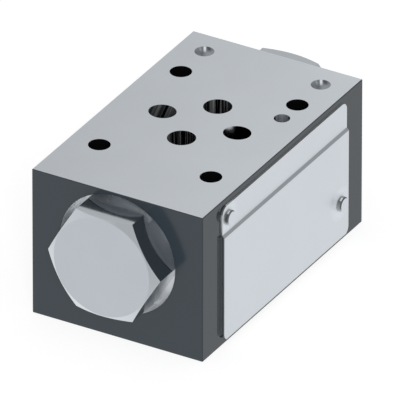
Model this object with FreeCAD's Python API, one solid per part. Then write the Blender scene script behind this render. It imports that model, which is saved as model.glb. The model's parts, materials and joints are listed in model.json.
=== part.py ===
import FreeCAD, Part
import math
import os

# Sandwich plate valve of size 6: two pilot-operated check valves in one steel block.
# Millimetres, +Z up. The origin is the centre of the port pattern on the lower face.
# +X runs along the main bore from the A end to the B end, and the nameplate is on the -Y side.

# Block
body_length = 77.6
body_width = 47.4
body_height = 40.0
edge_break = 0.2
pattern_offset = 0.85          # the port pattern lies this far past the middle, towards the B end

# Port pattern, measured from the first fixing hole as the interface standard gives it
pattern_centre = (21.45, 15.5)
fixing_places = [(0.0, 0.0), (40.5, -0.75), (40.5, 31.75), (0.0, 31.0)]
port_a_place = (12.7, 15.5)
port_b_place = (30.2, 15.5)
port_p_place = (21.5, 25.9)
port_t_place = (21.5, 5.1)
pin_place = (33.0, 31.75)
spot_places = [(51.93, -0.75), (51.93, 31.75)]
fixing_radius = 2.75
port_radius = 3.55             # A and B, drilled straight
port_bottom_depth = 5.0
link_radius = 2.8              # slanting drilling from a lower port to its outer chamber
link_overrun = 3.0
passage_radius = 3.25          # P and T, drilled slanting from both faces to pass the main bore
passage_wall = 1.97            # left beside the passage where its two drillings meet
passage_overrun = 3.0
pin_radius = 2.0
pin_depth = 6.0
spot_radius = 2.55             # two shallow conical spots near the B end
spot_depth = 0.45
spot_overrun = 0.5

# Seals under the four lower ports
port_seal_recess_radius = 6.25
port_seal_recess_depth = 1.35
port_seal_width = 1.6
port_seal_gap = 0.05

# Main bore, with places measured from its middle outwards, the same towards both ends
bore_height = 23.2
spool_bore_radius = 5.0
inner_chamber_start = 5.0
inner_chamber_radius = 6.5
bush_shoulder = 13.4
outer_chamber_start = 18.5
outer_chamber_radius = 10.2
thread_diameter = 22.0
thread_pitch = 1.5
plug_seal_recess_radius = 12.1
plug_seal_recess_depth = 2.3
recess_radius = 16.1
recess_depth = 5.5

# End plug with its hexagon head
hex_across_flats = 27.0
hex_proud = 7.5
hex_chamfer_angle = 30.0
hex_face_radius = 13.22
washer_face_height = 0.3
plug_neck_radius = 9.7
plug_guide_radius = 7.4
plug_crown = 8.8
spring_pocket_radius = 4.4

# Seat bush
bush_radius = 9.0
bush_length = 11.6
bush_flange_thickness = 2.0
bush_neck_radius = 8.0
bush_tail_length = 5.0
bush_tail_radius = 7.1
seat_radius = 3.6
seat_depth = 1.8
guide_radius = 5.5
cross_hole_radius = 1.7
cross_hole_count = 4
cross_hole_place = 6.9         # from the bush's inner end
bush_groove_start = 1.2
bush_groove_width = 2.3
bush_groove_radius = 7.45

# Poppet
poppet_cone_angle = 30.0
poppet_cone_radius = 4.8
poppet_nose_length = 1.55      # how far the cone reaches past the seat edge
poppet_rim = 0.4
poppet_stem_radius = 2.7
poppet_skirt_start = 8.6       # from the bush's inner end
poppet_floor = 1.5
poppet_skirt_length = 7.0
poppet_cup_radius = 4.2
poppet_stroke = 3.0
poppet_end_margin = 0.2
vent_radius = 0.8

# Spring
spring_wire = 1.0
spring_radius = 3.3            # to the middle of the wire
spring_turns = 4
spring_steps = 16              # straight steps in a turn

# Control spool
spool_land_half = 6.2
spool_pin_radius = 1.9
spool_free_play = 1.0
spool_end_margin = 0.05
spool_groove_places = [-2.5, 2.5]
spool_groove_width = 0.6
spool_groove_depth = 0.4
spool_bevel = 0.4

# Nameplate: one sheet whose large lower field stands off by a joggle
plate_length = 60.4
plate_shift = 0.1              # the plate's middle from the block's middle, towards the B end
plate_top_margin = 1.8         # from the block's upper face
plate_bottom = 1.5
plate_thickness = 0.45
plate_joggle = 0.56            # how far the lower field stands off
plate_joggle_height = 0.65
plate_strip_height = 7.3       # from the plate's top to its joggle
plate_corner = 2.2
rivet_upper_inset = (2.45, 3.2)    # from the plate's A end and top edge
rivet_lower_inset = (4.05, 10.2)   # from the plate's B end and bottom edge
rivet_head_radius = 1.95
rivet_head_height = 1.25
rivet_head_edge = 0.3
rivet_radius = 1.25
rivet_grip = 5.0

# Clearances
running_clearance = 0.04
bush_clearance = 0.04
flange_clearance = 0.05
thread_clearance = 0.05
seat_clearance = 0.05
seal_clearance = 0.03
rivet_clearance = 0.03

# Places that follow from the sizes above
half_length = body_length / 2
bore_centre_x = -pattern_offset
thread_radius = (thread_diameter - 0.6495 * thread_pitch) / 2
recess_floor = half_length - recess_depth
thread_start = recess_floor - plug_seal_recess_depth
bush_end = bush_shoulder + bush_length
bush_tail_end = bush_end + bush_tail_length
seat_edge = bush_shoulder + seat_depth
skirt_start = bush_shoulder + poppet_skirt_start
cup_floor = skirt_start + poppet_floor
skirt_end = skirt_start + poppet_skirt_length
plug_stop = skirt_end + poppet_stroke + poppet_end_margin
plug_face = half_length + hex_proud
pocket_end = plug_face - plug_crown
poppet_tip = seat_edge - poppet_nose_length
plate_top = body_height - plate_top_margin
plate_joggle_top = plate_top - plate_strip_height

X_AXIS = FreeCAD.Vector(1, 0, 0)
Z_AXIS = FreeCAD.Vector(0, 0, 1)
ORIGIN = FreeCAD.Vector(0, 0, 0)


def at(place):
    """Turn a place in the port pattern into x and y of the valve."""
    return place[0] - pattern_centre[0], pattern_centre[1] - place[1]


def turned(outline):
    """Turn a closed outline of (place along the bore, radius) points about the bore."""
    points = [FreeCAD.Vector(u, 0, r) for u, r in outline]
    wire = Part.makePolygon(points + points[:1])
    return Part.Face(wire).revolve(ORIGIN, X_AXIS, 360)


def disc(start, end, radius):
    """A round bar along the bore."""
    return Part.makeCylinder(radius, end - start, FreeCAD.Vector(start, 0, 0), X_AXIS)


def placed(shape, side):
    """Put a piece that was made outwards from the bore's middle at the A (-1) or B (+1) end."""
    moved = shape.copy()
    if side < 0:
        moved.rotate(ORIGIN, Z_AXIS, 180)
    moved.translate(FreeCAD.Vector(bore_centre_x, 0, bore_height))
    return moved


def drilling(start, end, radius):
    """A straight hole between two points."""
    run = end.sub(start)
    return Part.makeCylinder(radius, run.Length, start, run)


def seal_ring(start, end, inner, outer):
    """A ring of soft seal, pressed to fill its groove."""
    return turned([(start, inner), (end, inner), (end, outer), (start, outer)])


def end_bore():
    """Half of the main bore, with its chambers, thread and recess."""
    return turned([
        (0, 0), (0, spool_bore_radius),
        (inner_chamber_start, spool_bore_radius), (inner_chamber_start, inner_chamber_radius),
        (bush_shoulder, inner_chamber_radius), (bush_shoulder, bush_radius + bush_clearance),
        (outer_chamber_start, bush_radius + bush_clearance),
        (outer_chamber_start, outer_chamber_radius),
        (bush_end, outer_chamber_radius), (bush_end, thread_radius + thread_clearance),
        (thread_start, thread_radius + thread_clearance), (thread_start, plug_seal_recess_radius),
        (recess_floor, plug_seal_recess_radius), (recess_floor, recess_radius),
        (half_length + 1, recess_radius), (half_length + 1, 0),
    ])


def straight_port(place, side):
    """An A or B port: straight from the top to the inner chamber, slanting from below to the outer."""
    x, y = at(place)
    upper = drilling(FreeCAD.Vector(x, y, bore_height), FreeCAD.Vector(x, y, body_height + 1), port_radius)
    mouth = drilling(FreeCAD.Vector(x, y, -1), FreeCAD.Vector(x, y, port_bottom_depth), port_radius)
    chamber_middle = (outer_chamber_start + bush_end) / 2 + 0.75
    target = FreeCAD.Vector(bore_centre_x + side * chamber_middle, y,
                            bore_height - bush_neck_radius)
    start = FreeCAD.Vector(x, y, 0)
    run = target.sub(start)
    end = start + run * (1 + link_overrun / run.Length)
    return [upper, mouth, drilling(start, end, link_radius)]


def bent_passage(place):
    """A P or T passage: two slanting drillings that meet beside the main bore at mid-height."""
    x, y = at(place)
    outwards = math.copysign(1, y)
    middle = body_height / 2
    elbow_y = body_width / 2 - passage_wall - passage_radius
    lean = (elbow_y - abs(y)) / middle
    elbow = FreeCAD.Vector(x, outwards * elbow_y, middle)
    mouth_y = y - outwards * lean * passage_overrun
    upper = FreeCAD.Vector(x, mouth_y, body_height + passage_overrun)
    lower = FreeCAD.Vector(x, mouth_y, -passage_overrun)
    return [
        drilling(upper, elbow, passage_radius),
        drilling(lower, elbow, passage_radius),
        Part.makeSphere(passage_radius, elbow),
    ]


def conical_spot(place):
    """A shallow cone sunk into the upper face."""
    x, y = at(place)
    height = spot_depth + spot_overrun
    return Part.makeCone(0, spot_radius * height / spot_depth, height,
                         FreeCAD.Vector(x, y, body_height - spot_depth), Z_AXIS)


def port_seal_recess(place):
    """The round recess in the lower face that takes one port's seal."""
    x, y = at(place)
    return drilling(FreeCAD.Vector(x, y, -1), FreeCAD.Vector(x, y, port_seal_recess_depth),
                    port_seal_recess_radius)


def rivet_places():
    """The two rivets as (x, z, height of the plate's outer surface off the block)."""
    left = bore_centre_x + plate_shift - plate_length / 2
    right = left + plate_length
    return {
        "upper": (left + rivet_upper_inset[0], plate_top - rivet_upper_inset[1], plate_thickness),
        "lower": (right - rivet_lower_inset[0], plate_bottom + rivet_lower_inset[1],
                  plate_thickness + plate_joggle),
    }


def valve_body():
    """The block with its main bore, ports, passages and holes."""
    block = Part.makeBox(body_length, body_width, body_height,
                         FreeCAD.Vector(bore_centre_x - half_length, -body_width / 2, 0))
    block = block.makeChamfer(edge_break, block.Edges)
    cutters = [placed(end_bore(), side) for side in (-1, 1)]
    cutters += straight_port(port_a_place, -1) + straight_port(port_b_place, 1)
    cutters += bent_passage(port_p_place) + bent_passage(port_t_place)
    cutters += [conical_spot(place) for place in spot_places]
    for place in (port_a_place, port_b_place, port_p_place, port_t_place):
        cutters.append(port_seal_recess(place))
    for place in fixing_places:
        x, y = at(place)
        cutters.append(drilling(FreeCAD.Vector(x, y, -1), FreeCAD.Vector(x, y, body_height + 1),
                                fixing_radius))
    x, y = at(pin_place)
    for start, end in ((-1, pin_depth), (body_height - pin_depth, body_height + 1)):
        cutters.append(drilling(FreeCAD.Vector(x, y, start), FreeCAD.Vector(x, y, end), pin_radius))
    for x, z, _ in rivet_places().values():
        face = FreeCAD.Vector(x, -body_width / 2 - 1, z)
        cutters.append(drilling(face, FreeCAD.Vector(x, -body_width / 2 + rivet_grip, z),
                                rivet_radius + rivet_clearance))
    return block.cut(cutters)


def hexagon(start, end):
    """A hexagon bar along the bore with two of its corners level with the axis."""
    corner = hex_across_flats / math.sqrt(3)
    points = []
    for step in range(7):
        angle = math.radians(60 * step)
        points.append(FreeCAD.Vector(start, corner * math.cos(angle), corner * math.sin(angle)))
    return Part.Face(Part.makePolygon(points)).extrude(FreeCAD.Vector(end - start, 0, 0))


def end_plug():
    """The screw plug: hexagon head, sealing neck, threaded shank and the pocket for the spring."""
    corner = hex_across_flats / math.sqrt(3)
    fall = (corner - hex_face_radius) * math.tan(math.radians(hex_chamfer_angle))
    envelope = turned([
        (recess_floor, 0), (recess_floor, hex_across_flats / 2 - washer_face_height),
        (recess_floor + washer_face_height, hex_across_flats / 2 - washer_face_height),
        (recess_floor + washer_face_height, corner),
        (plug_face - fall, corner), (plug_face, hex_face_radius), (plug_face, 0),
    ])
    head = hexagon(recess_floor, plug_face).common(envelope)
    shank = turned([
        (bush_end, plug_guide_radius), (bush_end, thread_radius), (thread_start, thread_radius),
        (thread_start, plug_neck_radius), (recess_floor, plug_neck_radius),
        (recess_floor, plug_guide_radius),
    ])
    guide = disc(bush_end, plug_stop, plug_guide_radius)
    pocket = disc(plug_stop, pocket_end, spring_pocket_radius)
    return head.fuse(shank).cut([guide, pocket]).removeSplitter()


def plug_seal():
    """The seal under the plug's head."""
    return seal_ring(thread_start + seal_clearance, recess_floor - seal_clearance,
                     plug_neck_radius + seal_clearance, plug_seal_recess_radius - seal_clearance)


def seat_bush():
    """The bush that holds the seat and guides the poppet, with a ring of cross holes."""
    groove_start = bush_shoulder + bush_groove_start
    groove_end = groove_start + bush_groove_width
    flange_start = bush_end - bush_flange_thickness
    flange_radius = outer_chamber_radius - flange_clearance
    body = turned([
        (bush_shoulder, seat_radius), (bush_shoulder, bush_radius), (groove_start, bush_radius),
        (groove_start, bush_groove_radius), (groove_end, bush_groove_radius),
        (groove_end, bush_radius), (outer_chamber_start, bush_radius),
        (outer_chamber_start, bush_neck_radius), (flange_start, bush_neck_radius),
        (flange_start, flange_radius), (bush_end, flange_radius),
        (bush_end, bush_tail_radius), (bush_tail_end, bush_tail_radius),
        (bush_tail_end, guide_radius), (seat_edge, guide_radius), (seat_edge, seat_radius),
    ])
    middle = FreeCAD.Vector(bush_shoulder + cross_hole_place, 0, 0)
    holes = []
    for step in range(cross_hole_count):
        angle = 2 * math.pi * step / cross_hole_count
        out = FreeCAD.Vector(0, math.sin(angle), math.cos(angle))
        holes.append(Part.makeCylinder(cross_hole_radius, bush_radius, middle, out))
    return body.cut(holes)


def bush_seal():
    """The seal round the seat bush, between the inner and the outer chamber."""
    groove_start = bush_shoulder + bush_groove_start
    groove_end = groove_start + bush_groove_width
    return seal_ring(groove_start + seal_clearance, groove_end - seal_clearance,
                     bush_groove_radius + seal_clearance,
                     bush_radius + bush_clearance - seal_clearance)


def poppet():
    """The check valve's moving piece: cone, stem and a skirt that is hollow for the spring."""
    slope = math.tan(math.radians(poppet_cone_angle))
    lift = seat_clearance / math.sin(math.radians(poppet_cone_angle))
    tip_radius = seat_radius - (poppet_nose_length + lift) * slope
    cone_end = seat_edge + lift + (poppet_cone_radius - seat_radius) / slope
    stem_start = cone_end + poppet_rim
    skirt_radius = guide_radius - running_clearance
    body = turned([
        (poppet_tip, 0), (poppet_tip, tip_radius),
        (cone_end, poppet_cone_radius), (stem_start, poppet_cone_radius),
        (stem_start, poppet_stem_radius), (skirt_start, poppet_stem_radius),
        (skirt_start, skirt_radius), (skirt_end, skirt_radius),
        (skirt_end, poppet_cup_radius), (cup_floor, poppet_cup_radius), (cup_floor, 0),
    ])
    vent_place = (stem_start + skirt_start) / 2
    across = Part.makeCylinder(vent_radius, 2 * poppet_cone_radius,
                               FreeCAD.Vector(vent_place, 0, -poppet_cone_radius), Z_AXIS)
    along = disc(vent_place, cup_floor, vent_radius)
    return body.cut([across, along])


def spring():
    """The closing spring, from the floor of the poppet's cup to the end of the plug's pocket."""
    half = spring_wire / 2
    rise = pocket_end - cup_floor - spring_wire
    corners = [(-half, -half), (half, -half), (half, half), (-half, half), (-half, -half)]
    steps = spring_turns * spring_steps
    sections = []
    for step in range(steps + 1):
        angle = 2 * math.pi * step / spring_steps
        middle = cup_floor + half + rise * step / steps
        points = []
        for out, along in corners:
            reach = spring_radius + out
            points.append(FreeCAD.Vector(middle + along, reach * math.cos(angle),
                                         reach * math.sin(angle)))
        sections.append(Part.makePolygon(points))
    return Part.makeLoft(sections, True, True)


def control_spool():
    """The floating spool that pushes one poppet open when the other side is under pressure."""
    radius = spool_bore_radius - running_clearance
    end = poppet_tip - spool_free_play - spool_end_margin
    half = [(end, spool_pin_radius), (spool_land_half, spool_pin_radius),
            (spool_land_half, radius - spool_bevel), (spool_land_half - spool_bevel, radius)]
    outline = half + [(-u, r) for u, r in reversed(half)]
    body = turned([(end, 0)] + outline + [(-end, 0)])
    for place in spool_groove_places:
        start = place - spool_groove_width / 2
        groove = disc(start, start + spool_groove_width, radius + 1)
        core = disc(start, start + spool_groove_width, radius - spool_groove_depth)
        body = body.cut(groove.cut(core))
    return body


def port_seal(place):
    """One seal ring in its recess under a lower port, level with the face as when bolted down."""
    x, y = at(place)
    outer = port_seal_recess_radius - port_seal_gap
    ring = seal_ring(port_seal_gap, port_seal_recess_depth, outer - port_seal_width, outer)
    ring.rotate(ORIGIN, FreeCAD.Vector(0, 1, 0), -90)
    ring.translate(FreeCAD.Vector(x, y, 0))
    return ring


def nameplate():
    """The blank plate: a sheet with rounded corners, bent outwards below its upper strip."""
    face = -body_width / 2
    outer = face - plate_thickness
    field_inner = face - plate_joggle
    field_outer = outer - plate_joggle
    joggle_bottom = plate_joggle_top - plate_joggle_height
    left = bore_centre_x + plate_shift - plate_length / 2
    section = [(face, plate_top), (outer, plate_top), (outer, plate_joggle_top),
               (field_outer, joggle_bottom), (field_outer, plate_bottom),
               (field_inner, plate_bottom), (field_inner, joggle_bottom), (face, plate_joggle_top)]
    points = [FreeCAD.Vector(left, y, z) for y, z in section]
    sheet = Part.Face(Part.makePolygon(points + points[:1])).extrude(FreeCAD.Vector(plate_length, 0, 0))
    depth = plate_thickness + plate_joggle
    blank = Part.makeBox(plate_length, depth, plate_top - plate_bottom,
                         FreeCAD.Vector(left, field_outer, plate_bottom))
    upright = [edge for edge in blank.Edges if abs(edge.tangentAt(edge.FirstParameter).y) > 0.9]
    sheet = sheet.common(blank.makeFillet(plate_corner, upright))
    holes = []
    for x, z, _ in rivet_places().values():
        holes.append(drilling(FreeCAD.Vector(x, face + 1, z), FreeCAD.Vector(x, field_outer - 1, z),
                              rivet_radius + rivet_clearance))
    return sheet.cut(holes)


def rivet(place):
    """A drive rivet: a flat head with a bevelled edge, and a plain shank in the block."""
    x, z, height = place
    head = disc(0, rivet_head_height, rivet_head_radius)
    rim = [edge for edge in head.Edges if edge.BoundBox.XMin > rivet_head_height / 2]
    head = head.makeChamfer(rivet_head_edge, rim)
    shank = disc(-height - rivet_grip, 0, rivet_radius)
    whole = head.fuse(shank)
    whole.rotate(ORIGIN, Z_AXIS, -90)
    whole.translate(FreeCAD.Vector(x, -body_width / 2 - height, z))
    return whole


def all_pieces():
    """Every separate piece by its name."""
    pieces = {"valve_body": valve_body(), "control_spool": placed(control_spool(), 1)}
    both_ends = {"end_plug": end_plug, "plug_seal": plug_seal, "seat_bush": seat_bush,
                 "bush_seal": bush_seal, "poppet": poppet, "spring": spring}
    for name, make in both_ends.items():
        piece = make()
        pieces[name + "_a"] = placed(piece, -1)
        pieces[name + "_b"] = placed(piece, 1)
    ports = {"a": port_a_place, "b": port_b_place, "p": port_p_place, "t": port_t_place}
    for letter, place in ports.items():
        pieces["port_seal_" + letter] = port_seal(place)
    pieces["nameplate"] = nameplate()
    for name, place in rivet_places().items():
        pieces["rivet_" + name] = rivet(place)
    return pieces


os.makedirs("parts", exist_ok=True)
for name, shape in all_pieces().items():
    shape.exportStep("parts/" + name + ".step")
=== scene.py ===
import json
import math

import bpy
from mathutils import Matrix, Vector


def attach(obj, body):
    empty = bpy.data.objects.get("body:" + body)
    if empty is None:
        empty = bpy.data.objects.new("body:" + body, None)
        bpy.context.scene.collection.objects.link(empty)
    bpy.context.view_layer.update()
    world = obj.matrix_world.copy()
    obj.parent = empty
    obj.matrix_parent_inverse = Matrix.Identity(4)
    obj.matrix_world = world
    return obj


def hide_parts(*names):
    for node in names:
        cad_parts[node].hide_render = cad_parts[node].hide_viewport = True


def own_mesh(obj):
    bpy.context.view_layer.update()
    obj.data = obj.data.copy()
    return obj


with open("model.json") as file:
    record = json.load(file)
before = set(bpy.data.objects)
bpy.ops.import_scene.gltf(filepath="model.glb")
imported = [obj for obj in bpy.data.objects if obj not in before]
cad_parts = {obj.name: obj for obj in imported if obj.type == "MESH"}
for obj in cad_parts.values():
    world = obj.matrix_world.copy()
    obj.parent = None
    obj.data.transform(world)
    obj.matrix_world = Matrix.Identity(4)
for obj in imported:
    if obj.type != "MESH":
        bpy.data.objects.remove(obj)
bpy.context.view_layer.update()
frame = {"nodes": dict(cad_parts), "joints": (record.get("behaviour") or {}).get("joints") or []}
nodes = frame["nodes"]

MM = 0.001

# Camera: a very long lens at the photograph's angle, aimed at a point of the upper face
CAMERA_AZIMUTH = 299.965
CAMERA_ELEVATION = 30.146
CAMERA_ROLL = 0.031
CAMERA_DISTANCE = 4.4
CAMERA_TARGET = (-32.234 * MM, -18.686 * MM, 39.945 * MM)
CAMERA_CLIP = (0.1, 30.0)
PHOTO_PIXELS = 400
PIXELS_PER_METRE = 4177.4
SENSOR = 36.0
BEHIND = (0.867, 0.4985)            # level directions in x and y, away from the camera
RIGHT = (0.4985, -0.867)            # and to its right

# Block: sizes are the part's own, and reaches are a little more, to take in a hole's whole wall
BLOCK_MIDDLE_X = -0.85 * MM
BLOCK_HALF_LENGTH = 38.8 * MM
BLOCK_HALF_WIDTH = 23.7 * MM
BLOCK_HEIGHT = 40.0 * MM
EDGE_BREAK = 0.22 * MM
BORE_HEIGHT = 23.2 * MM
RECESS_FLOOR = 33.3 * MM
RECESS_REACH = 16.6 * MM
ROOF_FADE = (5 * MM, 10 * MM)
OUTER_HOLES = 12 * MM               # fixing holes, spots and locating holes lie further from y = 0
FIXING_X = (-21.45 * MM, 19.05 * MM)
FIXING_REACH = 3 * MM
SPOT_X = 30.48 * MM
SPOT_REACH = 3 * MM
SPOT_LOWEST = 37 * MM
SPOT_RADIUS = 2.55 * MM
PIN_X = 11.55 * MM
PIN_REACH = 2.4 * MM
# Beyond this far to the left or right of a locating hole's middle, its sides are painted dark as shade
PIN_SHADE_FROM = 1.5 * MM
SMALL_HOLE_Y = 16.25 * MM
PASSAGE_REACH = 3.6 * MM
PASSAGE_LEAN = 0.404                # sideways per depth, in ports P and T
PORT_P_SIDE = -5 * MM
LIT_RIGHT = (8.0 * MM, 8.8 * MM)    # the lit part of port P's wall, by RIGHT, BEHIND and height
LIT_BEHIND = (-4.2 * MM, -3.2 * MM)
LIT_HEIGHT = 38 * MM

# Tones of the block, dark to bright, and the share of each region that isn't metal
# Ground faces: their colour is also painted lighter towards +x and towards -y, as painted light
GROUND_TONES = (0.58, 0.71)
# Ports and holes: painted near black as shade, with lighter streaks
BORE_SHADE_TONES = (0.002, 0.28)
LIT_TONES = (0.5, 0.66)
# Recesses: bright machined steel, painted lighter still to lift their shade, partly painted light
RECESS_LIT_TONES = (0.84, 0.95)
PIN_TONES = (0.45, 0.85)
# Painted shade on the locating holes' left and right sides
PIN_SHADE_TONE = 0.01
# Fixing holes painted near black as shade
FIXING_SHADE_TONE = 0.006
SIDE_COLOURS = ((0.0138, 0.023, 0.0305, 1), (0.0176, 0.0297, 0.0397, 1))
# Painted light beside the plate's left edge and under it
BESIDE_PLATE_LIGHT_TONE = 0.11
UNDER_PLATE_LIGHT_TONE = 0.24
DULLNESS = {"outer": 1.0, "recess": 0.65, "roof": 0.3, "pin": 0.4, "matt": 0.9, "spot": 0.9}

# Painted reflection streaks in a spot, by place from left to right and tone, in its farther and nearer
# half
REAR_REFLECTION_STOPS = ((0.0, 0.31), (1.0, 0.35), (0.13, 0.27), (0.21, 0.25), (0.25, 0.32), (0.31, 0.42),
              (0.36, 0.26), (0.41, 0.23), (0.45, 0.3), (0.52, 0.34), (0.58, 0.28), (0.636, 0.17),
              (0.68, 0.12), (0.736, 0.1), (0.786, 0.155), (0.84, 0.25), (0.91, 0.3))
NEAR_REFLECTION_STOPS = ((0.0, 0.2), (1.0, 0.36), (0.14, 0.19), (0.23, 0.21), (0.32, 0.175), (0.37, 0.145),
              (0.43, 0.175), (0.5, 0.26), (0.59, 0.335), (0.68, 0.36), (0.77, 0.355), (0.86, 0.34))
REAR_SKEW = 0.2
REAR_SHIFT = 0.3 * MM
HALVES_MEET = (-0.2 * MM, 1.1 * MM)
SPOT_GLINT = (0.1 * MM, 0.3 * MM)   # middle and half width, to the right
SPOT_GLINT_TONE = 0.92

# Plugs: only the top flat lies higher over the bore than this, and its lighter part fades across it
CROWN_HEIGHT = 11.5 * MM
CROWN_FADE = (5 * MM, -5 * MM)
CROWN_GAIN = 3.2
SATIN_FADE = 1 * MM

# Plate and rivets: places of the plate's faces, the bend's upper and lower ends, and each rivet's head
STRIP_FACE_Y = -24.13 * MM
FIELD_FACE_Y = -24.69 * MM
JOGGLE_HEIGHT = (30.92 * MM, 30.23 * MM)
PLATE_CORNER = (-28.9 * MM, 36.5 * MM)
PLATE_X = -30.95 * MM
PLATE_Z = (1.5 * MM, 30.6 * MM)
# Height of a painted shade line along the plate's lowest edge
LOWEST_EDGE = 0.3 * MM
PLATE_TONES = (0.74, 0.8)
HALO_LIGHT_TONES = (0.93, 0.98)           # a matt ring round each rivet, painted lighter as painted light against the rivet's dark reflection
HALO_RADII = (2.4 * MM, 4.8 * MM)
HALO_DULLNESS = 0.65
HALO_ROUGHNESS = 0.65
RIVET_X = (-28.5 * MM, 25.4 * MM)
RIVET_Z = (35.0 * MM, 11.7 * MM)
RIVET_FACE_Y = (-25.4 * MM, -25.96 * MM)
RIVET_BEVEL = 0.31 * MM
RIVET_GLINT = (1.95, 0.28)          # middle and half width, in radians round the rivet
RIVET_GLINT_DEPTH = 0.7 * MM
# Painted reflection streaks round a rivet's side, by place round it from 0 to 1 and tone
SIDE_REFLECTION_STOPS = ((0.0, 0.42), (1.0, 0.42), (0.07, 0.52), (0.14, 0.7), (0.3, 0.7), (0.55, 0.7),
              (0.66, 0.4), (0.72, 0.35), (0.78, 0.42), (0.83, 0.3), (0.864, 0.19), (0.9, 0.25),
              (0.94, 0.33))

# Light: the surround's level for soft light, and its mirrored level by how far a direction leans to a side
AMBIENT = 0.55
BRIGHT_SIDE = (0.0, 0.5, -0.866)
MIRRORED_LEVELS = ((-1.0, 0.75), (1.0, 1.25), (-0.6, 0.72), (-0.32, 0.78), (0.25, 0.85), (0.65, 1.0),
                   (0.87, 1.22))
HIGHEST_LEVEL = 2.0
PANEL_SIDE = (-0.6, 0.75, 0.25)
PANEL_EDGE = (0.75, 0.95)
PANEL_LEVEL = 0.22
FLOOR_REACH = 3.0
FLOOR_DROP = 0.02 * MM
FLOOR_GLOW = (0.4, 0.82)            # for other light, and for what the camera sees


def tree_of(name):
    """A new material with its node tree, its shader and the object's coordinates."""
    material = bpy.data.materials.new(name)
    material.use_nodes = True
    tree = material.node_tree
    tree.nodes.clear()
    shader = tree.nodes.new("ShaderNodeBsdfPrincipled")
    output = tree.nodes.new("ShaderNodeOutputMaterial")
    tree.links.new(shader.outputs["BSDF"], output.inputs["Surface"])
    place = tree.nodes.new("ShaderNodeTexCoord").outputs["Object"]
    return material, tree, shader, place


def feed(tree, socket, value):
    """Link a socket to another, or set its value."""
    if isinstance(value, bpy.types.NodeSocket):
        tree.links.new(value, socket)
    elif value is not None:
        socket.default_value = value


def calc(tree, operation, a, b=None, c=None, clamp=False):
    """A math node."""
    node = tree.nodes.new("ShaderNodeMath")
    node.operation = operation
    node.use_clamp = clamp
    for socket, value in zip(node.inputs, (a, b, c)):
        feed(tree, socket, value)
    return node.outputs[0]


def split(tree, vector):
    """The x, y and z of a vector."""
    node = tree.nodes.new("ShaderNodeSeparateXYZ")
    tree.links.new(vector, node.inputs[0])
    return node.outputs[0], node.outputs[1], node.outputs[2]


def joined(tree, x, y):
    """A vector from two numbers."""
    node = tree.nodes.new("ShaderNodeCombineXYZ")
    tree.links.new(x, node.inputs[0])
    tree.links.new(y, node.inputs[1])
    return node.outputs[0]


def stretched(tree, vector, scale):
    """Coordinates multiplied by three factors."""
    node = tree.nodes.new("ShaderNodeVectorMath")
    node.operation = "MULTIPLY"
    tree.links.new(vector, node.inputs[0])
    node.inputs[1].default_value = scale
    return node.outputs[0]


def noise(tree, vector, scale, detail=3.0, roughness=0.6):
    """Noise from 0 to 1 in metres' coordinates multiplied by scale."""
    node = tree.nodes.new("ShaderNodeTexNoise")
    tree.links.new(vector, node.inputs["Vector"])
    node.inputs["Scale"].default_value = scale
    node.inputs["Detail"].default_value = detail
    node.inputs["Roughness"].default_value = roughness
    return node.outputs["Fac"]


def spread(tree, value, low, high, to_low=0.0, to_high=1.0):
    """Map a range to another range, held at its ends."""
    node = tree.nodes.new("ShaderNodeMapRange")
    feed(tree, node.inputs["Value"], value)
    feed(tree, node.inputs["From Min"], low)
    feed(tree, node.inputs["From Max"], high)
    feed(tree, node.inputs["To Min"], to_low)
    feed(tree, node.inputs["To Max"], to_high)
    return node.outputs[0]


def mixed(tree, factor, a, b):
    """A colour between a and b."""
    node = tree.nodes.new("ShaderNodeMix")
    node.data_type = "RGBA"
    feed(tree, node.inputs["Factor"], factor)
    feed(tree, node.inputs[6], a)
    feed(tree, node.inputs[7], b)
    return node.outputs[2]


def mixed_number(tree, factor, a, b):
    """A number between a and b."""
    node = tree.nodes.new("ShaderNodeMix")
    feed(tree, node.inputs[0], factor)
    feed(tree, node.inputs[2], a)
    feed(tree, node.inputs[3], b)
    return node.outputs[0]


def bump(tree, height, distance):
    """A bump from a height of 0 to 1."""
    node = tree.nodes.new("ShaderNodeBump")
    tree.links.new(height, node.inputs["Height"])
    node.inputs["Distance"].default_value = distance
    node.inputs["Strength"].default_value = 1.0
    return node.outputs["Normal"]


def grey(value, blue=0.0):
    """A grey colour, a little bluish."""
    return (value * (1 - blue), value, value * (1 + blue), 1.0)


def shaded(tree, value, low, high, blue=0.03):
    """A grey that runs from low to high with a value from 0 to 1."""
    return mixed(tree, value, grey(low, blue), grey(high, blue))


def ramp(tree, value, stops, blue=0.08):
    """A grey that follows stops of a place from 0 to 1 and a brightness."""
    node = tree.nodes.new("ShaderNodeValToRGB")
    tree.links.new(value, node.inputs["Fac"])
    marks = node.color_ramp.elements
    for index, (at, level) in enumerate(stops):
        mark = marks[index] if index < 2 else marks.new(at)
        mark.position = at
        mark.color = grey(level, blue)
    return node.outputs["Color"]


def weighed(tree, *parts):
    """The sum of pairs of a value and its weight."""
    whole = 0.0
    for value, weight in parts:
        whole = calc(tree, "MULTIPLY_ADD", value, weight, whole)
    return whole


def apart(tree, value, middle):
    """How far a value is from a middle value."""
    return calc(tree, "ABSOLUTE", calc(tree, "SUBTRACT", value, middle))


def distance(tree, a, b, middle_a, middle_b):
    """Distance from a middle, in the plane of two coordinates."""
    offset_a = calc(tree, "SUBTRACT", a, middle_a)
    offset_b = calc(tree, "SUBTRACT", b, middle_b)
    square = calc(tree, "ADD", calc(tree, "MULTIPLY", offset_a, offset_a),
                  calc(tree, "MULTIPLY", offset_b, offset_b))
    return calc(tree, "SQRT", square)


def over(tree, value, limit, width=0.02 * MM):
    """0 under the limit and 1 over it."""
    return spread(tree, value, limit - width, limit + width)


def near(tree, value, middle, reach):
    """1 within reach of a middle value, and 0 elsewhere."""
    return calc(tree, "LESS_THAN", apart(tree, value, middle), reach)


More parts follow.
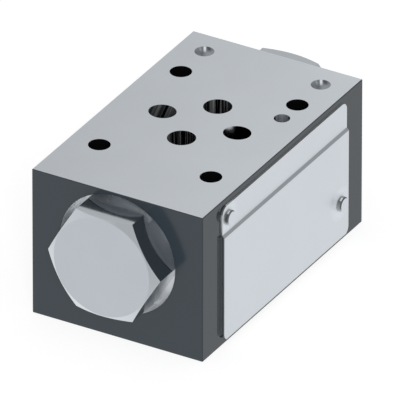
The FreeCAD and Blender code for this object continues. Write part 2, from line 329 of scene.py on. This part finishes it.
def either(tree, *masks):
    """1 where any of the masks is 1."""
    whole = masks[0]
    for mask in masks[1:]:
        whole = calc(tree, "MAXIMUM", whole, mask)
    return whole


def both(tree, *masks):
    """1 where all of the masks are 1."""
    whole = masks[0]
    for mask in masks[1:]:
        whole = calc(tree, "MULTIPLY", whole, mask)
    return whole


def without(tree, mask):
    """The reverse of a mask."""
    return calc(tree, "SUBTRACT", 1.0, mask)


def as_seen(tree, x, y):
    """How far a place lies behind and to the right, as the photograph's camera sees it."""
    behind = weighed(tree, (x, BEHIND[0]), (y, BEHIND[1]))
    right = weighed(tree, (x, RIGHT[0]), (y, RIGHT[1]))
    return behind, right


def in_hole(tree, x, y, middle_x):
    """How far a place lies behind and to the right of a small hole's middle."""
    middle_y = calc(tree, "MULTIPLY", calc(tree, "SIGN", y), SMALL_HOLE_Y)
    return as_seen(tree, calc(tree, "SUBTRACT", x, middle_x), calc(tree, "SUBTRACT", y, middle_y))


def painted_spot_reflections(tree, x, y):
    """Painted reflections round a spot's middle, in streaks as a shallow turned cone shows them, with a
    painted glint, alike in both spots.
    """
    behind, right = in_hole(tree, x, y, SPOT_X)
    skewed = calc(tree, "SUBTRACT", weighed(tree, (right, 1.0), (behind, REAR_SKEW)), REAR_SHIFT)
    near_reflection = ramp(tree, spread(tree, right, -SPOT_RADIUS, SPOT_RADIUS), NEAR_REFLECTION_STOPS)
    rear_reflection = ramp(tree, spread(tree, skewed, -SPOT_RADIUS, SPOT_RADIUS), REAR_REFLECTION_STOPS)
    tone = mixed(tree, spread(tree, behind, *HALVES_MEET), near_reflection, rear_reflection)
    middle, half_width = SPOT_GLINT
    glint = without(tree, over(tree, apart(tree, right, middle), half_width, 0.08 * MM))
    glint = both(tree, glint, spread(tree, behind, 0.0, 1.2 * MM))
    return mixed(tree, glint, tone, grey(SPOT_GLINT_TONE, 0.05))


def block_regions(tree, x, y, z, radius):
    """Masks of the block's regions."""
    along = apart(tree, x, BLOCK_MIDDLE_X)
    across = calc(tree, "ABSOLUTE", y)
    up = apart(tree, z, BLOCK_HEIGHT / 2)
    ground = over(tree, up, BLOCK_HEIGHT / 2 - 0.02 * MM, 0.005 * MM)
    cut = without(tree, ground)
    ends = over(tree, along, BLOCK_HALF_LENGTH - EDGE_BREAK)
    outer = both(tree, either(tree, ends, over(tree, across, BLOCK_HALF_WIDTH - EDGE_BREAK)), cut)
    inner = both(tree, over(tree, across, OUTER_HOLES), cut, without(tree, outer))
    fixing = either(tree, *(near(tree, x, middle, FIXING_REACH) for middle in FIXING_X))
    fixing = both(tree, fixing, inner)
    recess = both(tree, over(tree, along, RECESS_FLOOR - 0.5 * MM),
                  calc(tree, "LESS_THAN", radius, RECESS_REACH))
    roof = both(tree, over(tree, z, BORE_HEIGHT), spread(tree, y, *ROOF_FADE, 1.0, 0.0), recess)
    spot = both(tree, near(tree, x, SPOT_X, SPOT_REACH), over(tree, z, SPOT_LOWEST), inner)
    pin = both(tree, near(tree, x, PIN_X, PIN_REACH), over(tree, across, OUTER_HOLES), cut)
    slanting = both(tree, near(tree, x, 0.0, PASSAGE_REACH), cut)
    port_p = both(tree, slanting, calc(tree, "LESS_THAN", y, PORT_P_SIDE))
    behind, right = as_seen(tree, x, y)
    lit = both(tree, port_p, spread(tree, right, *LIT_RIGHT, 1.0, 0.0),
               spread(tree, behind, *LIT_BEHIND), over(tree, z, LIT_HEIGHT, 1 * MM))
    matt = both(tree, cut, without(tree, either(tree, outer, recess, spot, pin, port_p)))
    return {"ground": ground, "ends": ends, "outer": outer, "fixing": fixing, "recess": recess,
            "roof": roof, "spot": spot, "pin": pin, "slanting": slanting, "port_p": port_p,
            "lit": lit, "matt": matt}


def side_colour(tree, x, y, z, value):
    """The sides' dark treatment, painted lighter beside the plate's left edge and under it: painted light
    that pales the shade there.
    """
    dark = mixed(tree, value, *SIDE_COLOURS)
    plate_shade_band = both(tree, calc(tree, "LESS_THAN", y, -BLOCK_HALF_WIDTH + EDGE_BREAK),
                   over(tree, z, PLATE_Z[0] + 1.5 * MM), calc(tree, "LESS_THAN", z, PLATE_Z[1]))
    # Painted light: the dark sides are lighter beside and under the plate's left edge, to pale the shade
    # there
    beside = both(tree, plate_shade_band, near(tree, x, PLATE_X - 0.5 * MM, 0.5 * MM))
    under = both(tree, plate_shade_band, near(tree, x, PLATE_X + 0.8 * MM, 0.8 * MM))
    dark = mixed(tree, under, dark, grey(UNDER_PLATE_LIGHT_TONE, 0.12))
    return mixed(tree, beside, dark, grey(BESIDE_PLATE_LIGHT_TONE, 0.12))


def block_material():
    """Ground upper and lower faces, dark treated sides, ports and holes painted near black as shade, with
    painted light in port P and painted reflections in the spots, and bright machined recesses painted
    lighter still against their shade.
    """
    material, tree, shader, place = tree_of("block_steel")
    x, y, z = split(tree, place)
    radius = distance(tree, y, z, 0.0, BORE_HEIGHT)
    region = block_regions(tree, x, y, z, radius)
    ground, outer = region["ground"], region["outer"]

    lines = noise(tree, stretched(tree, place, (60, 2600, 60)), 1.0, 4.0, 0.7)
    cloud = noise(tree, place, 45.0, 2.0)
    grain = noise(tree, place, 2200.0, 4.0, 0.7)
    rings = noise(tree, stretched(tree, joined(tree, radius, x), (2400, 2400, 0)), 1.0, 3.0)
    streaks = noise(tree, stretched(tree, place, (1300, 1300, 25)), 1.0, 3.0)
    sideways = calc(tree, "MULTIPLY", calc(tree, "SUBTRACT", z, BLOCK_HEIGHT), PASSAGE_LEAN)
    slanted_y = calc(tree, "MULTIPLY_ADD", calc(tree, "SIGN", y), sideways, y)
    slants = noise(tree, stretched(tree, joined(tree, x, slanted_y), (450, 450, 0)), 1.0, 2.0)

    # Ports and holes: near black with lighter streaks, painted shade
    bore = shaded(tree, spread(tree, streaks, 0.48, 0.68), *BORE_SHADE_TONES, 0.05)
    slants = both(tree, spread(tree, slants, 0.45, 0.65), without(tree, region["port_p"]))
    # Painted shade: a locating hole's sides to the left and right, as the camera sees them, painted near
    # black
    pin_side_shade = over(tree, calc(tree, "ABSOLUTE", in_hole(tree, x, y, PIN_X)[1]), PIN_SHADE_FROM, 0.15 * MM)
    lining = shaded(tree, spread(tree, streaks, 0.35, 0.65), *PIN_TONES, 0.08)
    # Painted light: the ground faces grow lighter towards +x and towards -y, over grinding lines and a
    # random cloud
    tone = weighed(tree, (lines, 0.04), (cloud, 0.5), (x, 3.5), (y, -14.0))
    bright = shaded(tree, calc(tree, "ADD", tone, 0.2), *GROUND_TONES, 0.055)
    dark = side_colour(tree, x, y, z, weighed(tree, (grain, 0.5), (cloud, 0.5)))
    colour = bore
    # port T: streaks along its slanted drilling, on the same painted near-black shade
    for name, layer in (("slanting", shaded(tree, slants, *BORE_SHADE_TONES, 0.05)),
                        ("lit", shaded(tree, streaks, *LIT_TONES, 0.05)),
                        # recesses: bright machined steel painted near white to lift their shade, partly
                        # painted light
                        ("recess", shaded(tree, rings, *RECESS_LIT_TONES, 0.03)),
                        # spots: painted reflections and a painted glint
                        ("spot", painted_spot_reflections(tree, x, y)),
                        ("pin", mixed(tree, pin_side_shade, lining, grey(PIN_SHADE_TONE))),
                        ("ground", bright),
                        ("outer", dark),
                        # fixing holes: painted near black as shade
                        ("fixing", grey(FIXING_SHADE_TONE))):
        colour = mixed(tree, region[name], colour, layer)
    feed(tree, shader.inputs["Base Color"], colour)

    dull = weighed(tree, *((region[name], share) for name, share in DULLNESS.items()))
    feed(tree, shader.inputs["Metallic"], calc(tree, "SUBTRACT", 1.0, dull, clamp=True))
    rough = mixed_number(tree, ground, spread(tree, grain, 0.3, 0.7, 0.15, 0.2),
                         spread(tree, lines, 0.3, 0.7, 0.275, 0.285))
    polish = mixed_number(tree, region["ends"], 0.03, 0.14)
    rough = mixed_number(tree, outer, rough, calc(tree, "MULTIPLY_ADD", grain, 0.04, polish))
    feed(tree, shader.inputs["Roughness"], rough)
    dim = either(tree, region["matt"], region["spot"])
    feed(tree, shader.inputs["Specular IOR Level"], mixed_number(tree, dim, 0.5, 0.05))
    relief = both(tree, grain, without(tree, ground))
    feed(tree, shader.inputs["Normal"], bump(tree, relief, 0.0001 * MM))
    return material


def turned_material(name, low, high, rough, satin=0.0):
    """Bright turned steel with faint rings round the bore's axis. Satin dulls it inside the recesses."""
    material, tree, shader, place = tree_of(name)
    x, y, z = split(tree, place)
    radius = distance(tree, y, z, 0.0, BORE_HEIGHT)
    ring_pitch = 0.25 * MM
    rings = calc(tree, "SINE", calc(tree, "MULTIPLY", radius, 2 * math.pi / ring_pitch))
    cloud = noise(tree, place, 120.0, 3.0)
    grain = noise(tree, place, 2500.0, 3.0)
    tone = weighed(tree, (cloud, 0.7), (grain, 0.3))
    feed(tree, shader.inputs["Base Color"], shaded(tree, tone, low, high, 0.065))
    shader.inputs["Metallic"].default_value = 1.0
    if satin:
        inside = spread(tree, apart(tree, x, BLOCK_MIDDLE_X), BLOCK_HALF_LENGTH + SATIN_FADE,
                        BLOCK_HALF_LENGTH - SATIN_FADE, 0.0, satin)
        crown = both(tree, over(tree, z, BORE_HEIGHT + CROWN_HEIGHT), spread(tree, y, *CROWN_FADE))
        dull = both(tree, inside, calc(tree, "MULTIPLY_ADD", crown, CROWN_GAIN, 1.0))
        feed(tree, shader.inputs["Metallic"], without(tree, dull))
    feed(tree, shader.inputs["Roughness"], spread(tree, grain, 0.3, 0.7, rough, rough + 0.04))
    relief = weighed(tree, (rings, 0.3), (grain, 1.0))
    feed(tree, shader.inputs["Normal"], bump(tree, relief, 0.0003 * MM))
    return material


def rivet_material():
    """A pressed rivet: a bright flat head, a side painted with reflection streaks and one painted
    highlight, and a bevel painted dark as shade, lighter on part of its lower side.
    """
    material, tree, shader, place = tree_of("rivet_steel")
    x, y, z = split(tree, place)
    lower = calc(tree, "GREATER_THAN", x, 0.0)
    from_head = calc(tree, "SUBTRACT", y, mixed_number(tree, lower, *RIVET_FACE_Y))
    along = calc(tree, "SUBTRACT", x, mixed_number(tree, lower, *RIVET_X))
    up = calc(tree, "SUBTRACT", z, mixed_number(tree, lower, *RIVET_Z))
    turn = calc(tree, "ARCTAN2", up, along)
    grain = noise(tree, place, 1800.0, 3.0)
    head = shaded(tree, grain, 0.75, 0.79, 0.06)
    # Painted shade on the bevel: dark, but lighter on part of its lower side
    fading = both(tree, calc(tree, "LESS_THAN", turn, -1.2), spread(tree, turn, -3.1, -2.4))
    bevel = mixed(tree, fading, grey(0.14, 0.06), grey(0.6, 0.06))
    # A painted highlight on the side, near the head
    glint = both(tree, near(tree, turn, *RIVET_GLINT),
                 calc(tree, "LESS_THAN", from_head, RIVET_GLINT_DEPTH))
    streaks = ramp(tree, spread(tree, turn, -math.pi, math.pi), SIDE_REFLECTION_STOPS, 0.0)
    side = mixed(tree, glint, streaks, grey(1.0))
    colour = mixed(tree, over(tree, from_head, 0.02 * MM, 0.01 * MM), head, bevel)
    colour = mixed(tree, over(tree, from_head, RIVET_BEVEL), colour, side)
    feed(tree, shader.inputs["Base Color"], colour)
    shader.inputs["Metallic"].default_value = 1.0
    feed(tree, shader.inputs["Roughness"], spread(tree, grain, 0.3, 0.7, 0.28, 0.34))
    feed(tree, shader.inputs["Normal"], bump(tree, grain, 0.0003 * MM))
    return material


def sheet_material():
    """Satin aluminium with a fine grain along its length; the cut edges are painted lighter on top, darker
    on the other sides and darkest at the upper left corner, as painted shade and reflection.
    """
    material, tree, shader, place = tree_of("plate_aluminium")
    x, y, z = split(tree, place)
    lines = noise(tree, stretched(tree, place, (40, 900, 2600)), 1.0, 4.0, 0.7)
    cloud = noise(tree, place, 60.0, 2.0)
    tone = weighed(tree, (lines, 0.4), (cloud, 0.6))

    strip = both(tree, over(tree, z, JOGGLE_HEIGHT[0]), calc(tree, "LESS_THAN", y, STRIP_FACE_Y))
    bend = both(tree, over(tree, z, JOGGLE_HEIGHT[1]), calc(tree, "LESS_THAN", z, JOGGLE_HEIGHT[0]))
    face = either(tree, calc(tree, "LESS_THAN", y, FIELD_FACE_Y), strip, bend)
    corner = both(tree, calc(tree, "LESS_THAN", x, PLATE_CORNER[0]), over(tree, z, PLATE_CORNER[1]))
    upper = both(tree, over(tree, z, PLATE_CORNER[1]), without(tree, corner))
    # A painted shade line: the plate's lowest 0.3 mm painted dark
    lowest = calc(tree, "LESS_THAN", z, PLATE_Z[0] + LOWEST_EDGE)
    rings = [distance(tree, x, z, *middle) for middle in zip(RIVET_X, RIVET_Z)]
    # Rings round the rivets: matt, and painted lighter as painted light against the rivet's dark
    # reflection
    halo = either(tree, *(spread(tree, ring, *HALO_RADII, 1.0, 0.0) for ring in rings))

    # Painted shade and reflection on the cut edges: lighter on the top edge, darker on the others, darkest
    # at the upper left corner
    edge = mixed(tree, upper, mixed(tree, corner, grey(0.5), grey(0.2)), grey(0.9))
    aluminium = mixed(tree, halo, shaded(tree, tone, *PLATE_TONES, 0.06),
                      shaded(tree, tone, *HALO_LIGHT_TONES, 0.06))
    aluminium = mixed(tree, lowest, aluminium, grey(0.12))
    # The bend is painted a darker grey than the plate: painted shade
    colour = mixed(tree, face, edge, mixed(tree, bend, aluminium, grey(0.39, 0.06)))
    feed(tree, shader.inputs["Base Color"], colour)
    feed(tree, shader.inputs["Metallic"], calc(tree, "MULTIPLY_ADD", halo, -HALO_DULLNESS, 1.0))
    rough = spread(tree, lines, 0.3, 0.7, 0.28, 0.38)
    feed(tree, shader.inputs["Roughness"], mixed_number(tree, halo, rough, HALO_ROUGHNESS))
    feed(tree, shader.inputs["Normal"], bump(tree, lines, 0.0003 * MM))
    return material


def rubber_material():
    """Black rubber with a fine moulded grain."""
    material, tree, shader, place = tree_of("seal_rubber")
    grain = noise(tree, place, 1800.0, 4.0)
    feed(tree, shader.inputs["Base Color"], shaded(tree, grain, 0.012, 0.03, 0.0))
    feed(tree, shader.inputs["Roughness"], spread(tree, grain, 0.3, 0.7, 0.5, 0.7))
    feed(tree, shader.inputs["Normal"], bump(tree, grain, 0.01 * MM))
    return material


def dress(prefix, material):
    """Give a material to every node whose name starts with the prefix."""
    for name, piece in nodes.items():
        if name.startswith(prefix):
            piece.data.materials.clear()
            piece.data.materials.append(material)


def shorten_springs():
    """Copies of the springs that the record's joints deform, attached to the housing in place of the
    springs themselves.
    """
    for joint in frame["joints"]:
        for change in joint.get("deforming_nodes", []):
            name = change["node"]
            spring = bpy.data.objects.new(name + "_coil", nodes[name].data.copy())
            bpy.context.scene.collection.objects.link(spring)
            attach(spring, "housing")
            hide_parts(name)
            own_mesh(spring)


def ray_kinds(tree):
    """1 for what the camera sees, straight, mirrored or through glass, and 0 for other light."""
    path = tree.nodes.new("ShaderNodeLightPath")
    return either(tree, path.outputs["Is Camera Ray"], path.outputs["Is Glossy Ray"],
                  path.outputs["Is Transmission Ray"])


def leaning(tree, direction, side):
    """How far a direction leans to a side, from -1 to 1."""
    node = tree.nodes.new("ShaderNodeVectorMath")
    node.operation = "DOT_PRODUCT"
    tree.links.new(direction, node.inputs[0])
    node.inputs[1].default_value = side
    return node.outputs["Value"]


def mirrored_level(tree, direction):
    """The surround's level in a mirror, from a curve over the direction's lean, plus a soft panel."""
    node = tree.nodes.new("ShaderNodeFloatCurve")
    node.mapping.use_clip = False
    points = node.mapping.curves[0].points
    for index, (lean, level) in enumerate(MIRRORED_LEVELS):
        spot = ((lean + 1) / 2, level / HIGHEST_LEVEL)
        if index < 2:
            points[index].location = spot
        else:
            points.new(*spot)
    node.mapping.update()
    tree.links.new(spread(tree, leaning(tree, direction, BRIGHT_SIDE), -1.0, 1.0), node.inputs["Value"])
    panel = spread(tree, leaning(tree, direction, PANEL_SIDE), *PANEL_EDGE, 0.0, PANEL_LEVEL)
    return calc(tree, "MULTIPLY_ADD", node.outputs[0], HIGHEST_LEVEL, panel)


def make_world():
    """A plain white surround. Mirrored, it is brighter below and to one side, as a studio's is."""
    world = bpy.data.worlds.new("surround")
    bpy.context.scene.world = world
    world.use_nodes = True
    tree = world.node_tree
    tree.nodes.clear()
    direction = tree.nodes.new("ShaderNodeTexCoord").outputs["Generated"]
    path = tree.nodes.new("ShaderNodeLightPath")
    level = weighed(tree, (path.outputs["Is Camera Ray"], 1.0), (path.outputs["Is Transmission Ray"], 1.0),
                    (path.outputs["Is Glossy Ray"], mirrored_level(tree, direction)))
    plain = tree.nodes.new("ShaderNodeBackground")
    plain.inputs["Color"].default_value = (1, 1, 1, 1)
    feed(tree, plain.inputs["Strength"], mixed_number(tree, ray_kinds(tree), AMBIENT, level))
    output = tree.nodes.new("ShaderNodeOutputWorld")
    tree.links.new(plain.outputs[0], output.inputs["Surface"])


def make_floor():
    """A pale floor that shows the object's shadow, is otherwise white, and is clear from below."""
    mesh = bpy.data.meshes.new("floor")
    corners = ((-1, -1), (1, -1), (1, 1), (-1, 1))
    mesh.from_pydata([(x * FLOOR_REACH, y * FLOOR_REACH, -FLOOR_DROP) for x, y in corners], [],
                     [(0, 1, 2, 3)])
    floor = bpy.data.objects.new("floor", mesh)
    bpy.context.scene.collection.objects.link(floor)
    floor.visible_glossy = False
    floor.visible_shadow = False
    material, tree, shader, _ = tree_of("floor_pale")
    shader.inputs["Base Color"].default_value = (0.3, 0.3, 0.3, 1)
    shader.inputs["Roughness"].default_value = 1.0
    shader.inputs["Specular IOR Level"].default_value = 0.0
    shader.inputs["Emission Color"].default_value = (1, 1, 1, 1)
    glow = spread(tree, ray_kinds(tree), 0.0, 1.0, *FLOOR_GLOW)
    feed(tree, shader.inputs["Emission Strength"], glow)
    output = shader.outputs["BSDF"].links[0].to_node
    from_below = tree.nodes.new("ShaderNodeNewGeometry").outputs["Backfacing"]
    clear = tree.nodes.new("ShaderNodeBsdfTransparent")
    chosen = tree.nodes.new("ShaderNodeMixShader")
    for socket, source in zip(chosen.inputs, (from_below, shader.outputs["BSDF"], clear.outputs["BSDF"])):
        tree.links.new(source, socket)
    tree.links.new(chosen.outputs[0], output.inputs["Surface"])
    mesh.materials.append(material)


def make_sun(name, towards, strength, angle):
    """A sun lamp whose light travels towards a direction, and that isn't mirrored."""
    lamp = bpy.data.lights.new(name, "SUN")
    lamp.energy = strength
    lamp.angle = math.radians(angle)
    piece = bpy.data.objects.new(name, lamp)
    piece.rotation_euler = Vector(towards).to_track_quat("-Z", "Y").to_euler()
    piece.visible_glossy = False
    bpy.context.scene.collection.objects.link(piece)


def make_camera():
    """The long-lens camera."""
    data = bpy.data.cameras.new("camera")
    camera = bpy.data.objects.new("camera", data)
    bpy.context.scene.collection.objects.link(camera)
    azimuth = math.radians(CAMERA_AZIMUTH)
    elevation = math.radians(CAMERA_ELEVATION)
    out = Vector((math.sin(azimuth) * math.cos(elevation), -math.cos(azimuth) * math.cos(elevation),
                  math.sin(elevation)))
    rotation = out.to_track_quat("Z", "Y").to_matrix().to_4x4()
    roll = Matrix.Rotation(math.radians(CAMERA_ROLL), 4, "Z")
    location = Matrix.Translation(Vector(CAMERA_TARGET) + out * CAMERA_DISTANCE)
    camera.matrix_world = location @ rotation @ roll
    data.sensor_width = SENSOR
    data.lens = PIXELS_PER_METRE * CAMERA_DISTANCE * SENSOR / PHOTO_PIXELS
    data.clip_start, data.clip_end = CAMERA_CLIP
    bpy.context.scene.camera = camera


make_camera()
make_world()
make_floor()
make_sun("key_light", (0.72, 0.50, -0.55), 0.8, 12.0)
make_sun("fill_light", (1.0, 0.0, 0.4), 1.0, 20.0)

dress("valve_body", block_material())
dress("end_plug", turned_material("plug_steel", 0.49, 0.53, 0.1, satin=0.18))
dress("nameplate", sheet_material())
dress("rivet", rivet_material())
dress("seat_bush", turned_material("bush_steel", 0.3, 0.4, 0.25))
dress("poppet", turned_material("poppet_steel", 0.5, 0.6, 0.15))
dress("spring", turned_material("spring_steel", 0.35, 0.5, 0.3))
dress("control_spool", turned_material("spool_steel", 0.5, 0.6, 0.12))
for prefix in ("plug_seal", "bush_seal", "port_seal"):
    dress(prefix, rubber_material())
shorten_springs()

bpy.context.scene.view_settings.view_transform = "Standard"
